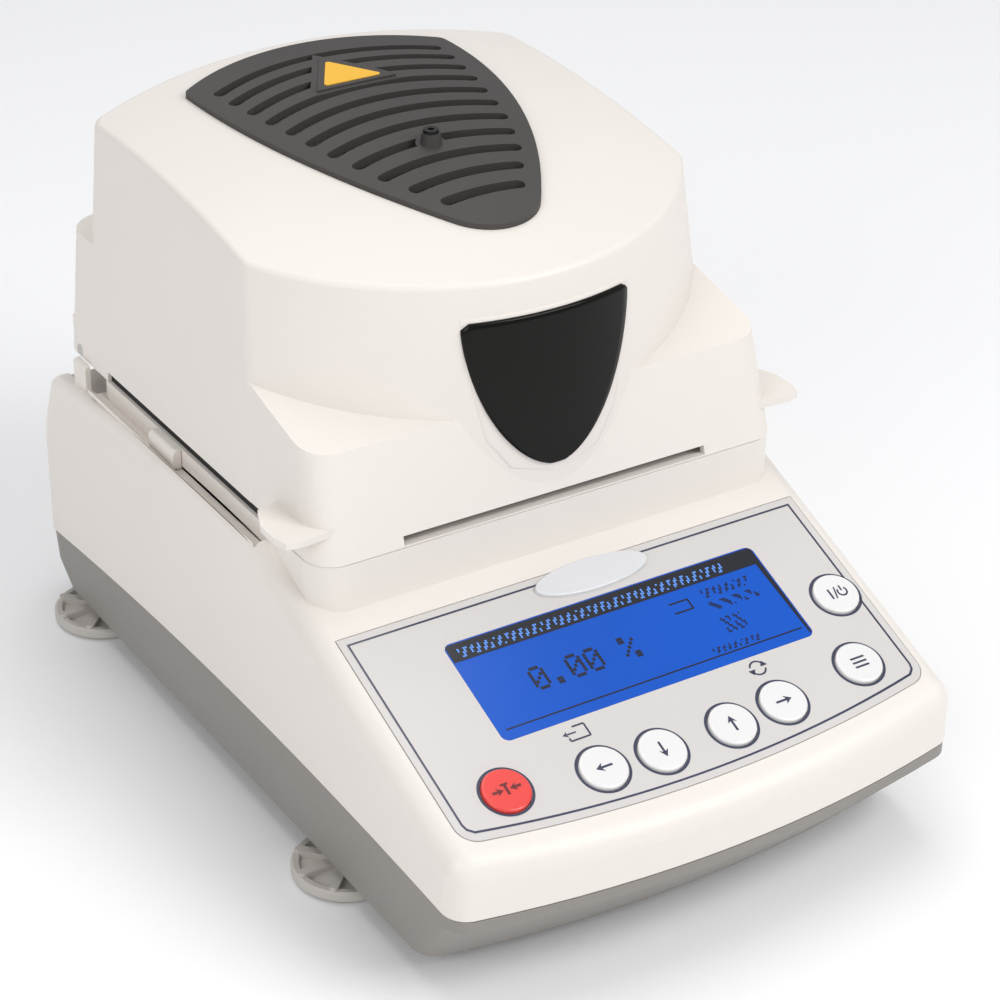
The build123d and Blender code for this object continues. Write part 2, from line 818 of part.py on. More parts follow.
with BuildPart() as protective_glass:
    with BuildSketch(Plane.XY.offset(bulkhead_z - fit_gap - glass_t)):
        with Locations((0, well_y)):
            Circle(glass_r)
    extrude(amount=glass_t)
protective_glass.part.label = "protective_glass"
export_step(protective_glass.part, "parts/protective_glass.step")

with BuildPart() as glass_clip:
    with BuildSketch(Plane.XZ):
        with BuildLine():
            Polyline(
                (glass_r - 4, bulkhead_z - glass_t - 1.4), (glass_r + 1.6, bulkhead_z - glass_t - 1.4),
                (glass_r + 1.6, bulkhead_z - 1.2), (glass_r + 9, bulkhead_z - 1.2),
                (glass_r + 9, bulkhead_z - 0.1), (glass_r + 0.5, bulkhead_z - 0.1),
                (glass_r + 0.5, bulkhead_z - glass_t - 0.3),
                (glass_r - 4, bulkhead_z - glass_t - 0.3),
                (glass_r - 4, bulkhead_z - glass_t - 1.4),
            )
        make_face()
    extrude(amount=4, both=True)

with BuildPart() as glass_clips:
    with Locations((0, well_y)):
        with PolarLocations(0, 4, 45):
            add(glass_clip.part)
glass_clips.part.label = "glass_clips"
export_step(glass_clips.part, "parts/glass_clips.step")

with BuildPart() as reflector:
    with BuildSketch(Plane.XY.offset(bulkhead_z + bulkhead_t)):
        with Locations((0, well_y)):
            RectangleRounded(2 * reflector_half, 1.7 * reflector_half, 12)
    with BuildSketch(Plane.XY.offset(bulkhead_z + bulkhead_t + reflector_h)):
        with Locations((0, well_y)):
            RectangleRounded(1.8 * reflector_half, 1.5 * reflector_half, 12)
    loft(ruled=True)
    offset(amount=-1, openings=reflector.faces().sort_by(Axis.Z)[0])
    with BuildSketch(Plane.XY.offset(bulkhead_z + bulkhead_t)) as flange:
        with Locations((0, well_y)):
            RectangleRounded(2 * reflector_half + 10, 1.7 * reflector_half + 10, 14)
            RectangleRounded(2 * reflector_half - 2, 1.7 * reflector_half - 2, 11,
                             mode=Mode.SUBTRACT)
    extrude(amount=1)
reflector.part.label = "reflector"
export_step(reflector.part, "parts/reflector.step")

for lamp, y in (("lamp_front", well_y - lamp_pitch / 2), ("lamp_rear", well_y + lamp_pitch / 2)):
    with BuildPart() as tube:
        with BuildSketch(Plane.XZ.offset(-y)):
            with BuildLine():
                Polyline(
                    (-lamp_half, lamp_z), (-lamp_half, lamp_z + 2.5),
                    (-lamp_half + 5, lamp_z + 2.5), (-lamp_half + 9, lamp_z + lamp_r),
                    (lamp_half - 9, lamp_z + lamp_r), (lamp_half - 5, lamp_z + 2.5),
                    (lamp_half, lamp_z + 2.5), (lamp_half, lamp_z), (-lamp_half, lamp_z),
                )
            make_face()
        revolve(axis=Axis((0, y, lamp_z), (1, 0, 0)))
    tube.part.label = lamp
    export_step(tube.part, f"parts/{lamp}.step")

with BuildPart() as lamp_sockets:
    with BuildSketch(Plane.XY.offset(bulkhead_z + bulkhead_t + 1)):
        with Locations((0, well_y)):
            with GridLocations(2 * lamp_half + 4, lamp_pitch, 2, 2):
                Rectangle(8, 12)
    extrude(amount=lamp_z + 7 - bulkhead_z - bulkhead_t - 1)
    with BuildSketch(Plane.XY.offset(bulkhead_z + bulkhead_t)):
        with Locations((0, well_y)):
            with GridLocations(2 * lamp_half + 4, 10, 2, 1):
                Rectangle(8, lamp_pitch + 12)
    extrude(amount=1)
    with BuildSketch(Plane.YZ):
        with Locations((well_y - lamp_pitch / 2, lamp_z), (well_y + lamp_pitch / 2, lamp_z)):
            Circle(2.5 + fit_gap)
    extrude(amount=lamp_half + fit_gap, both=True, mode=Mode.SUBTRACT)
lamp_sockets.part.label = "lamp_sockets"
export_step(lamp_sockets.part, "parts/lamp_sockets.step")

with BuildPart() as temperature_sensor:
    with BuildSketch(Plane.XY.offset(bulkhead_z - 4.1)):
        with Locations((0, well_y - glass_r - 9)):
            Rectangle(16, 8)
    extrude(amount=4)
    with BuildSketch(Plane.XZ.offset(-well_y + glass_r + 7)):
        with Locations((0, bulkhead_z - 8)):
            Circle(1.5)
    extrude(amount=-26)
    with BuildSketch(Plane.XY.offset(bulkhead_z - 8)):
        with Locations((0, well_y - glass_r - 8)):
            Circle(1.5)
    extrude(amount=5)
temperature_sensor.part.label = "temperature_sensor"
export_step(temperature_sensor.part, "parts/temperature_sensor.step")

for side, name in ((-1, "hinge_pin_left"), (1, "hinge_pin_right")):
    with BuildPart() as hinge_pin:
        with BuildSketch(Plane.YZ.offset(side * (ear_in + 1))):
            with Locations((hinge_y, hinge_z)):
                Circle(pin_r)
        extrude(amount=side * (head_half - 0.4 - ear_in - 1))
    hinge_pin.part.label = name
    export_step(hinge_pin.part, f"parts/{name}.step")

# Chamber: dish, draft ring, pan and its support
with BuildPart() as chamber_floor:
    with BuildSketch(Plane.XZ.offset(-well_y)):
        with BuildLine():
            Polyline(
                (support_hole_r, well_floor_z + 0.1), (dish_r, well_floor_z + 0.1),
                (dish_r, well_floor_z + 8), (dish_r - 1, well_floor_z + 8),
                (dish_r - 1, well_floor_z + 1.1), (support_hole_r, well_floor_z + 1.1),
                (support_hole_r, well_floor_z + 0.1),
            )
        make_face()
    revolve(axis=Axis((0, well_y, 0), (0, 0, 1)))
chamber_floor.part.label = "chamber_floor"
export_step(chamber_floor.part, "parts/chamber_floor.step")

with BuildPart() as draft_ring:
    with BuildSketch(Plane.XY.offset(well_floor_z + 1.2)):
        with Locations((0, well_y)):
            Circle(draft_ring_r)
            Circle(draft_ring_r - 1.2, mode=Mode.SUBTRACT)
    extrude(amount=draft_ring_h)
draft_ring.part.label = "draft_ring"
export_step(draft_ring.part, "parts/draft_ring.step")

with BuildPart() as pan_support:
    with BuildSketch(Plane.XY.offset(cell_z + cell_h)):
        with Locations((0, well_y)):
            Circle(post_r)
    extrude(amount=pan_z - 2 - cell_z - cell_h)
    with BuildSketch(Plane.XY.offset(pan_z - 2)):
        with Locations((0, well_y)):
            Circle(9)
            with PolarLocations(19, 3, 90):
                Rectangle(38, 5)
    extrude(amount=1.6)
pan_support.part.label = "pan_support"
export_step(pan_support.part, "parts/pan_support.step")

with BuildPart() as sample_pan:
    with BuildSketch(Plane.XZ.offset(-well_y)):
        with BuildLine():
            Polyline(
                (0, pan_z - 0.3), (pan_r - 3, pan_z - 0.3), (pan_r - 2.2, pan_z + pan_rim_h),
                (pan_r, pan_z + pan_rim_h), (pan_r, pan_z + pan_rim_h + 0.6),
                (pan_r - 2.9, pan_z + pan_rim_h + 0.6), (pan_r - 3.6, pan_z + 0.4),
                (0, pan_z + 0.4), (0, pan_z - 0.3),
            )
        make_face()
    revolve(axis=Axis((0, well_y, 0), (0, 0, 1)))
sample_pan.part.label = "sample_pan"
export_step(sample_pan.part, "parts/sample_pan.step")

ring_top = well_floor_z + 1.2 + draft_ring_h
with BuildPart() as pan_handler:
    with BuildSketch(Plane.XY.offset(pan_z + pan_rim_h - 1.8)):
        with Locations((0, well_y)):
            Circle(handler_r)
            Circle(pan_r - 1.6, mode=Mode.SUBTRACT)
    extrude(amount=1.6)
    with BuildSketch(Plane.XY.offset(pan_z + pan_rim_h - 1.8)):
        with Locations((0, well_y)):
            with PolarLocations(handler_r - 1.5, 3, 90):
                Rectangle(2.2, 12)
    extrude(amount=ring_top + 1.6 - pan_z - pan_rim_h + 1.8)
    with BuildSketch(Plane.XY.offset(ring_top + 0.1)):
        with Locations((0, well_y)):
            with PolarLocations((handler_r - 2.6 + draft_ring_r + 2) / 2, 3, 90):
                Rectangle(draft_ring_r + 2 - handler_r + 2.6, 12)
            with Locations((0, draft_ring_r + 3)):
                RectangleRounded(18, 10, 3)
    extrude(amount=1.5)
pan_handler.part.label = "pan_handler"
export_step(pan_handler.part, "parts/pan_handler.step")

with BuildPart() as load_cell:
    with BuildSketch(Plane.YZ) as cell_side:
        with Locations((well_y - 15 + cell_l / 2, cell_z + cell_h / 2)):
            Rectangle(cell_l, cell_h)
            SlotOverall(cell_l * 0.45, cell_h * 0.5, mode=Mode.SUBTRACT)
    extrude(amount=cell_w / 2, both=True)
load_cell.part.label = "load_cell"
export_step(load_cell.part, "parts/load_cell.step")

with BuildPart() as load_cell_base:
    with BuildSketch(Plane.XY.offset(floor_z + wall)):
        with Locations((0, well_y - 15 + cell_l - 18)):
            Rectangle(cell_w + 24, 34)
    extrude(amount=cell_z - floor_z - wall)
    with BuildSketch(Plane.XY.offset(floor_z + wall)):
        with Locations((0, well_y - 15 + cell_l - 18)):
            with GridLocations(cell_w + 14, 20, 2, 2):
                Circle(2)
    extrude(amount=20, mode=Mode.SUBTRACT)
load_cell_base.part.label = "load_cell_base"
export_step(load_cell_base.part, "parts/load_cell_base.step")

# Electronics in the tray
with BuildPart() as main_board:
    with BuildSketch(Plane.XY.offset(board_z)):
        with Locations((board_x, board_y)):
            Rectangle(board_w, board_d)
            with GridLocations(board_w - 10, board_d - 10, 2, 2):
                Circle(1.6, mode=Mode.SUBTRACT)
    extrude(amount=1.6)
    with BuildSketch(Plane.XY.offset(board_z + 1.6)):
        with Locations((board_x - 30, board_y + 10)):
            Rectangle(20, 20)
        with Locations((board_x + 25, board_y - 8)):
            with GridLocations(22, 20, 2, 2):
                Rectangle(12, 8)
    extrude(amount=2)
    with BuildSketch(Plane.XY.offset(board_z + 1.6)):
        with Locations((board_x - 52, board_y)):
            Rectangle(8, 50)
    extrude(amount=9)
main_board.part.label = "main_board"
export_step(main_board.part, "parts/main_board.step")

with BuildPart() as power_board:
    with BuildSketch(Plane.XY.offset(board_z)):
        with Locations((power_x, power_y)):
            Rectangle(power_w, power_d)
            with GridLocations(power_w - 10, power_d - 10, 2, 2):
                Circle(1.6, mode=Mode.SUBTRACT)
    extrude(amount=1.6)
    with BuildSketch(Plane.XY.offset(board_z + 1.6)):
        with Locations((power_x - 10, power_y - 10), (power_x - 10, power_y + 18)):
            Circle(7)
    extrude(amount=22)
    with BuildSketch(Plane.XY.offset(board_z + 1.6)):
        with Locations((power_x + 14, power_y)):
            Rectangle(3, 60)
    extrude(amount=26)
power_board.part.label = "power_board"
export_step(power_board.part, "parts/power_board.step")

with BuildPart() as transformer:
    with BuildSketch(Plane.XY.offset(floor_z + wall)):
        with Locations((-power_x, power_y)):
            Rectangle(46, 56)
    extrude(amount=38)
    with BuildSketch(Plane.XZ.offset(-power_y)):
        with Locations((-power_x, floor_z + wall + 19)):
            RectangleRounded(30, 26, 6)
    extrude(amount=36, both=True)
transformer.part.label = "transformer"
export_step(transformer.part, "parts/transformer.step")

# Connectors on the rear
with BuildPart() as mains_inlet:
    with BuildSketch(Plane.XZ.offset(-port_wall_y)) as inlet_flange:
        with Locations((inlet_x, inlet_z)):
            RectangleRounded(inlet_w + 5, inlet_h + 4, 2)
    extrude(amount=-2.5)
    with BuildSketch(Plane.XZ.offset(-port_wall_y)):
        with Locations((inlet_x, inlet_z)):
            Rectangle(inlet_w - 0.3, inlet_h - 0.3)
    extrude(amount=20)
    # Socket with its three blades, and the fuse drawer's bay
    with BuildSketch(Plane.XZ.offset(-port_wall_y - 2.5)):
        with Locations((inlet_x + 7.5, inlet_z)):
            RectangleRounded(socket_w, socket_h, 3)
        with Locations((inlet_x - 15, inlet_z)):
            Rectangle(drawer_w + 2 * drawer_run, drawer_h + 2 * drawer_run)
    extrude(amount=16, mode=Mode.SUBTRACT)
    with BuildSketch(Plane.XZ.offset(-port_wall_y + 14)):
        with Locations((inlet_x + 7.5, inlet_z + 5)):
            Rectangle(4, 2)
        with Locations((inlet_x + 0.5, inlet_z + 2), (inlet_x + 14.5, inlet_z + 2)):
            Rectangle(2, 4)
    extrude(amount=-14)
mains_inlet.part.label = "mains_inlet"
export_step(mains_inlet.part, "parts/mains_inlet.step")

with BuildPart() as fuse_drawer:
    with BuildSketch(Plane.XZ.offset(-port_wall_y - 3.3)):
        with Locations((inlet_x - 15, inlet_z)):
            Rectangle(drawer_w, drawer_h)
    extrude(amount=16)
    with BuildSketch(Plane.XZ.offset(-port_wall_y - 3.3)):
        with Locations((inlet_x - 15, inlet_z + 7)):
            Rectangle(6, 2)
    extrude(amount=1, mode=Mode.SUBTRACT)
fuse_drawer.part.label = "fuse_drawer"
export_step(fuse_drawer.part, "parts/fuse_drawer.step")

with BuildPart() as serial_port:
    with BuildSketch(Plane.XZ.offset(-port_wall_y)):
        with Locations((serial_x, inlet_z)):
            RectangleRounded(31, 12.5, 1)
    extrude(amount=-1)
    with BuildSketch(Plane.XZ.offset(-port_wall_y - 1)):
        with Locations((serial_x, inlet_z)):
            Trapezoid(17, 8.5, 80)
    extrude(amount=-5)
    with BuildSketch(Plane.XZ.offset(-port_wall_y)):
        with Locations((serial_x, inlet_z)):
            Rectangle(serial_w - 0.3, serial_h - 0.3)
    extrude(amount=9)
serial_port.part.label = "serial_port"
export_step(serial_port.part, "parts/serial_port.step")

# Panel furniture
with BuildPart() as panel_overlay:
    with BuildSketch(panel.offset(-film + 0.02)):
        add(overlay_outline(0))
        with Locations((lcd_x, -lcd_h / 2)):
            RectangleRounded(lcd_w + 0.2, lcd_h + 0.2, lcd_r, mode=Mode.SUBTRACT)
        with Locations(*[(x, -s) for x, s in keys.values()]):
            Circle(key_disc_r + key_hole_gap, mode=Mode.SUBTRACT)
    extrude(amount=film - 0.02)
panel_overlay.part.label = "panel_overlay"
export_step(panel_overlay.part, "parts/panel_overlay.step")

with BuildPart() as lcd_window:
    with BuildSketch(panel.offset(-film + 0.02)):
        with Locations((lcd_x, -lcd_h / 2)):
            RectangleRounded(lcd_w, lcd_h, lcd_r)
    extrude(amount=film - 0.02)
lcd_window.part.label = "lcd_window"
export_step(lcd_window.part, "parts/lcd_window.step")

with BuildPart() as badge_plate:
    with BuildSketch(panel.offset(0.02)):
        with Locations((badge_x, badge_up)):
            Ellipse(badge_w / 2, badge_h / 2)
    extrude(amount=1.5)
    fillet(badge_plate.faces().sort_by(panel_normal)[-1].edges(), radius=0.6)
badge_plate.part.label = "badge_plate"
export_step(badge_plate.part, "parts/badge_plate.step")

with BuildPart() as lcd_module:
    with BuildSketch(panel_at(module_depth)):
        with Locations((lcd_x, -lcd_h / 2)):
            Rectangle(lcd_w + 8, lcd_h + 6)
    extrude(amount=-7)
    with BuildSketch(panel_at(module_depth + 7)):
        with Locations((lcd_x, -lcd_h / 2)):
            Rectangle(lcd_w - 10, lcd_h - 12)
    extrude(amount=-3)
lcd_module.part.label = "lcd_module"
export_step(lcd_module.part, "parts/lcd_module.step")

with BuildPart() as keypad_board:
    with BuildSketch(panel_at(board_depth)):
        with BuildLine():
            Polyline(
                (-86, -75), (95, -75), (95, -24), (78, -24), (78, -51), (-86, -51), (-86, -75)
            )
        make_face()
    extrude(amount=-1.6)
    with BuildSketch(panel_at(board_depth)):
        with Locations(*[(x, -s) for x, s in keys.values()]):
            Circle(3.5)
    extrude(amount=2)
keypad_board.part.label = "keypad_board"
export_step(keypad_board.part, "parts/keypad_board.step")

for name, (x, s) in keys.items():
    with BuildPart() as key:
        with BuildSketch(panel.offset(key_proud)):
            with Locations((x, -s)):
                Circle(key_disc_r)
        extrude(amount=-key_proud - wall - 0.3)
        fillet(key.faces().sort_by(panel_normal)[-1].edges(), radius=0.8)
        with BuildSketch(panel_at(wall + 0.3)):
            with Locations((x, -s)):
                Circle(key_disc_r + 1)
        extrude(amount=-1.2)
        with BuildSketch(panel_at(wall + 1.5)):
            with Locations((x, -s)):
                Circle(3)
        extrude(amount=-(board_depth - 2 - key_travel - 0.1 - wall - 1.5))
    key.part.label = name
    export_step(key.part, f"parts/{name}.step")

# Screw feet: a ribbed wheel with its stud, and the sole that it turns on
for name, (x, y) in foot_places().items():
    with BuildPart() as wheel:
        with BuildSketch(Plane.XZ.offset(-y)):
            with BuildLine():
                Polyline(
                    (x, foot_sole_t + 0.1), (x + foot_sole_r + 0.4, foot_sole_t + 0.1),
                    (x + foot_sole_r + 0.4, foot_sole_show), (x + foot_r - 1, foot_sole_show),
                    (x + foot_r, foot_sole_show + 1), (x + foot_r, foot_rim_h - 1),
                    (x + foot_r - 1, foot_rim_h), (x + foot_r - 3, foot_rim_h),
                    (x + foot_r - 4, foot_rim_h - 1.6), (x + foot_hub_r, foot_rim_h - 0.6),
                    (x + foot_hub_r, floor_z - foot_gap), (x + stud_r, floor_z - foot_gap),
                    (x + stud_r, boss_top_z - 2), (x, boss_top_z - 2), (x, foot_sole_t + 0.1),
                )
            make_face()
        revolve(axis=Axis((x, y, 0), (0, 0, 1)))
        with BuildSketch(Plane.XY.offset(foot_rim_h - 2)):
            with Locations((x, y)):
                with PolarLocations((foot_hub_r + foot_r - 3) / 2, foot_ribs):
                    SlotOverall(foot_r - 3 - foot_hub_r + 4, 3.4)
        extrude(amount=3.4)
    wheel.part.label = f"foot_wheel_{name}"
    export_step(wheel.part, f"parts/foot_wheel_{name}.step")
    with BuildPart() as sole:
        with BuildSketch(Plane.XY):
            with Locations((x, y)):
                Circle(foot_sole_r)
        extrude(amount=foot_sole_t)
        chamfer(sole.edges().group_by(Axis.Z)[0], length=0.5)
    sole.part.label = f"foot_pad_{name}"
    export_step(sole.part, f"parts/foot_pad_{name}.step")

# Screws from below that hold the tray to the housing
with BuildPart() as tray_screws:
    with BuildSketch(Plane.XY.offset(floor_z + 1.4)):
        with Locations(*screw_posts):
            Circle(3)
    extrude(amount=2.5)
    with BuildSketch(Plane.XY.offset(floor_z + 3.9)):
        with Locations(*screw_posts):
            Circle(1.5)
    extrude(amount=24)
tray_screws.part.label = "tray_screws"
export_step(tray_screws.part, "parts/tray_screws.step")
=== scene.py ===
"""Moisture analyzer: a bench balance with a heating head on a hinge.

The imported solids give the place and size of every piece. This file adds their
finishes, the printed lines and signs of the panel, the picture on the display,
and the studio with its camera.
"""
from math import cos, pi, radians, sin, sqrt

import bpy
import bmesh
from mathutils import Matrix, Vector


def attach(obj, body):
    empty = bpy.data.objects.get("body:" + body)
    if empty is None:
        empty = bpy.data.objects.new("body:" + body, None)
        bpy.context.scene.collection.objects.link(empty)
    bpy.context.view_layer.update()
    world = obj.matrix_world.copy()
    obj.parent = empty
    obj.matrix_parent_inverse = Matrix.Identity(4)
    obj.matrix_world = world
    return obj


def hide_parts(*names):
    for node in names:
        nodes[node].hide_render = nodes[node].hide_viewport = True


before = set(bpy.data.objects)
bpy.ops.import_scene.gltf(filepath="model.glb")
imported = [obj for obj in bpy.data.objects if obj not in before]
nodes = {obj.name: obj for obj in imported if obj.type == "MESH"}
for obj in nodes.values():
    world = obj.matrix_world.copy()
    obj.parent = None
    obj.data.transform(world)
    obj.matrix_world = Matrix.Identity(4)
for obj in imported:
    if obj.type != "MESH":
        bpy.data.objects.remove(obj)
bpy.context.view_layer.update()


# Camera. It stands to the left of the panel, a little over a metre away, and looks
# down at the instrument as someone does who stands at the bench.
camera_azimuth = radians(-32.27)
camera_elevation = radians(29.73)
camera_roll = radians(0.57)
camera_distance = 1.05679
camera_target = Vector((-0.00733, -0.02897, 0.11045))

towards_camera = Vector((
    sin(camera_azimuth) * cos(camera_elevation),
    -cos(camera_azimuth) * cos(camera_elevation),
    sin(camera_elevation),
))
level_right = Vector((cos(camera_azimuth), sin(camera_azimuth), 0))
level_up = towards_camera.cross(level_right)
camera_right = cos(camera_roll) * level_right + sin(camera_roll) * level_up
camera_up = -sin(camera_roll) * level_right + cos(camera_roll) * level_up

camera_data = bpy.data.cameras.new("camera")
camera_data.sensor_width = 36
camera_data.lens = 103.79
camera = bpy.data.objects.new("camera", camera_data)
camera_place = camera_target + camera_distance * towards_camera
camera.matrix_world = Matrix((
    (camera_right.x, camera_up.x, towards_camera.x, camera_place.x),
    (camera_right.y, camera_up.y, towards_camera.y, camera_place.y),
    (camera_right.z, camera_up.z, towards_camera.z, camera_place.z),
    (0, 0, 0, 1),
))
bpy.context.scene.collection.objects.link(camera)
bpy.context.scene.camera = camera


# Housing. Warm white ABS mouldings: the sloping panel with its shoulders, and the
# shell of the heating head. The mould leaves a fine even grain on the visible sides.
def shaded_material(name, shade, colour, scale, detail=2, start=0, end=1):
    """Material that drifts between two shades, and the nodes that others build on."""
    material = bpy.data.materials.new(name)
    material.use_nodes = True
    tree = material.node_tree
    shader = tree.nodes["Principled BSDF"]
    place = tree.nodes.new("ShaderNodeTexCoord")
    cloud = tree.nodes.new("ShaderNodeTexNoise")
    cloud.inputs["Scale"].default_value = scale
    cloud.inputs["Detail"].default_value = detail
    tree.links.new(place.outputs["Object"], cloud.inputs["Vector"])
    tint = tree.nodes.new("ShaderNodeValToRGB")
    tint.color_ramp.elements[0].position = start
    tint.color_ramp.elements[0].color = (*shade, 1)
    tint.color_ramp.elements[1].position = end
    tint.color_ramp.elements[1].color = (*colour, 1)
    tree.links.new(cloud.outputs["Fac"], tint.inputs["Fac"])
    tree.links.new(tint.outputs["Color"], shader.inputs["Base Color"])
    return material, tree, shader, place, cloud, tint


def vary_gloss(tree, shader, cloud, low, high):
    """Let the roughness follow the same clouds as the shade."""
    gloss = tree.nodes.new("ShaderNodeMapRange")
    gloss.inputs["To Min"].default_value = low
    gloss.inputs["To Max"].default_value = high
    tree.links.new(cloud.outputs["Fac"], gloss.inputs["Value"])
    tree.links.new(gloss.outputs["Result"], shader.inputs["Roughness"])


def moulded_plastic(name, colour, shade, roughness, grain, depth):
    """Moulded plastic with a fine grain, slightly uneven in shade and gloss."""
    material, tree, shader, place, cloud, tint = shaded_material(
        name, shade, colour, 9, 4, 0.3, 0.7
    )
    vary_gloss(tree, shader, cloud, roughness - 0.05, roughness + 0.05)
    speckle = tree.nodes.new("ShaderNodeTexNoise")
    speckle.inputs["Scale"].default_value = grain
    speckle.inputs["Detail"].default_value = 3
    tree.links.new(place.outputs["Object"], speckle.inputs["Vector"])
    relief = tree.nodes.new("ShaderNodeBump")
    relief.inputs["Strength"].default_value = depth
    relief.inputs["Distance"].default_value = 0.0002
    tree.links.new(speckle.outputs["Fac"], relief.inputs["Height"])
    tree.links.new(relief.outputs["Normal"], shader.inputs["Normal"])
    return material


def dress(node, material):
    """Give a CAD piece its finish in place of its own."""
    piece = nodes[node]
    piece.data.materials.clear()
    piece.data.materials.append(material)


housing_plastic = moulded_plastic(
    "housing_plastic", (0.80, 0.755, 0.70), (0.78, 0.73, 0.675), 0.42, 1400, 0.12
)
dress("upper_housing", housing_plastic)
dress("head_shell", housing_plastic)


# Recess beside the chamber block. A moulded channel floor on each side, a stop that
# the head's side rests against, and a cheek at the rear that hides the hinge pin.
def linked_piece(name, build, material):
    """Object made from a finished bmesh, with one material."""
    mesh = bpy.data.meshes.new(name)
    build.to_mesh(mesh)
    build.free()
    mesh.materials.append(material)
    piece = bpy.data.objects.new(name, mesh)
    bpy.context.scene.collection.objects.link(piece)
    return piece


def side_bar(name, section, stations, material):
    """Bar along Y, closed at its ends, in millimetres. section is its outline as (x, z);
    stations are its y values with how far the outline shrinks there."""
    build = bmesh.new()
    middle_x = sum(x for x, z in section) / len(section)
    middle_z = sum(z for x, z in section) / len(section)
    rings = []
    for y, shrink in stations:
        rings.append([
            build.verts.new((
                (x + (middle_x - x) * shrink) / 1000,
                y / 1000,
                (z + (middle_z - z) * shrink) / 1000,
            ))
            for x, z in section
        ])
    for near, far in zip(rings, rings[1:]):
        for i in range(len(near)):
            j = (i + 1) % len(near)
            build.faces.new((near[i], near[j], far[j], far[i]))
    build.faces.new(rings[0])
    build.faces.new(rings[-1])
    bmesh.ops.recalc_face_normals(build, faces=build.faces[:])
    piece = linked_piece(name, build, material)
    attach(piece, "base")
    return piece


recess_bars = {
    "recess_floor_": (
        [(98.42, 113.15), (100.9, 113.15), (102.3, 113.6), (103.3, 114.7), (103.85, 116.6),
         (103.95, 116.6), (103.5, 114.3), (102.3, 112.9), (100.9, 112.4), (98.42, 112.4)],
        [(-18.5, 0), (118.5, 0)],
    ),
    "side_stop_": (
        [(98.5, 113), (102.0, 113.4), (102.2, 119.6), (101.4, 120.9), (100.6, 121.3),
         (98.5, 121.3)],
        [(47.6, 0.1), (48.4, 0), (67.4, 0), (68.2, 0.1)],
    ),
    "hinge_cheek_": (
        [(98.9, 109), (101.4, 109), (101.4, 120.6), (100.9, 121.6), (100.2, 122.0),
         (98.9, 122.0)],
        [(125.6, 0.12), (126.6, 0), (135.4, 0), (136.4, 0.12)],
    ),
}
for side, hand in ((-1, "left"), (1, "right")):
    for name, (section, stations) in recess_bars.items():
        side_bar(
            name + hand, [(side * x, z) for x, z in section], stations,
            housing_plastic,
        )


# Hinge ears. Two arms moulded on the deck's rear edge reach back round the hinge pins,
# in the housing's white plastic.
pin_y = 0.1363
pin_z = 0.1241
ear_radius = 0.0058
ear_inner_x = 0.0835
ear_outer_x = 0.0932


def hinge_ear(name, side):
    """Arm with a round end, from the deck to its pin."""
    outline = [(0.1130, 0.1135), (0.1300, 0.1165)]
    outline += [
        (pin_y + ear_radius * sin(radians(turn)), pin_z - ear_radius * cos(radians(turn)))
        for turn in range(-20, 201, 10)
    ]
    outline += [(0.1300, 0.1262), (0.1190, 0.1213), (0.1130, 0.1208)]
    build = bmesh.new()
    walls = [
        [build.verts.new((side * x, y, z)) for y, z in outline]
        for x in (ear_inner_x, ear_outer_x)
    ]
    for i in range(len(outline)):
        j = (i + 1) % len(outline)
        build.faces.new((walls[0][i], walls[0][j], walls[1][j], walls[1][i]))
    build.faces.new(walls[0])
    build.faces.new(walls[1])
    bmesh.ops.recalc_face_normals(build, faces=build.faces[:])
    piece = linked_piece(name, build, housing_plastic)
    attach(piece, "base")
    return piece


hinge_ear("hinge_ear_left", -1)
hinge_ear("hinge_ear_right", 1)


# Painted shade under the head. A black strip on the deck under each side of the head fills the air
# gap, so that the gap reads as dark shade.
gap_shade_black = moulded_plastic(
    "gap_shade_black", (0.012, 0.012, 0.012), (0.008, 0.008, 0.008), 0.8, 900, 0.2
)
gap_shade_section = [(95.8, 121.7), (96.9, 121.7), (96.9, 125.3), (95.8, 125.3)]
# These strips are painted shade in the gap, not a part of the instrument.
for side, hand in ((-1, "left"), (1, "right")):
    side_bar(
        "painted_gap_shade_" + hand, [(side * x, z) for x, z in gap_shade_section],
        [(-13.3, 0), (110.4, 0)], gap_shade_black,
    )


# Tray. Grey ABS with the same grain, a little coarser; the screw feet are pale grey
# mouldings with a dark rubber sole.
tray_plastic = moulded_plastic(
    "tray_plastic", (0.27, 0.255, 0.235), (0.25, 0.235, 0.215), 0.5, 1200, 0.18
)
dress("lower_tray", tray_plastic)

foot_plastic = moulded_plastic(
    "foot_plastic", (0.56, 0.53, 0.49), (0.52, 0.49, 0.45), 0.45, 1300, 0.12
)
sole_rubber = moulded_plastic(
    "sole_rubber", (0.03, 0.03, 0.03), (0.022, 0.022, 0.022), 0.75, 900, 0.3
)
for corner in ("front_left", "front_right", "rear_left", "rear_right"):
    dress("foot_wheel_" + corner, foot_plastic)
    dress("foot_pad_" + corner, sole_rubber)


# Grille. Dark grey heat-proof moulding with a coarse spark-eroded grain; it drops
# into the top of the head and one screw holds it.
grille_plastic = moulded_plastic(
    "grille_plastic", (0.062, 0.056, 0.052), (0.045, 0.041, 0.038), 0.55, 1300, 0.35
)
dress("top_grille", grille_plastic)


def metal(name, colour, roughness, stretch):
    """Sheet or turned metal with fine drawn lines, stretched along the draw."""
    material, tree, shader, place, lines, tint = shaded_material(
        name, [0.82 * part for part in colour], colour, 60, 5
    )
    shader.inputs["Metallic"].default_value = 1
    pull = tree.nodes.new("ShaderNodeMapping")
    pull.inputs["Scale"].default_value = stretch
    tree.links.new(place.outputs["Object"], pull.inputs["Vector"])
    tree.links.new(pull.outputs["Vector"], lines.inputs["Vector"])
    vary_gloss(tree, shader, lines, roughness - 0.06, roughness + 0.08)
    return material


blackened_steel = metal("blackened_steel", (0.06, 0.058, 0.055), 0.4, (1, 1, 1))
dress("grille_screw", blackened_steel)


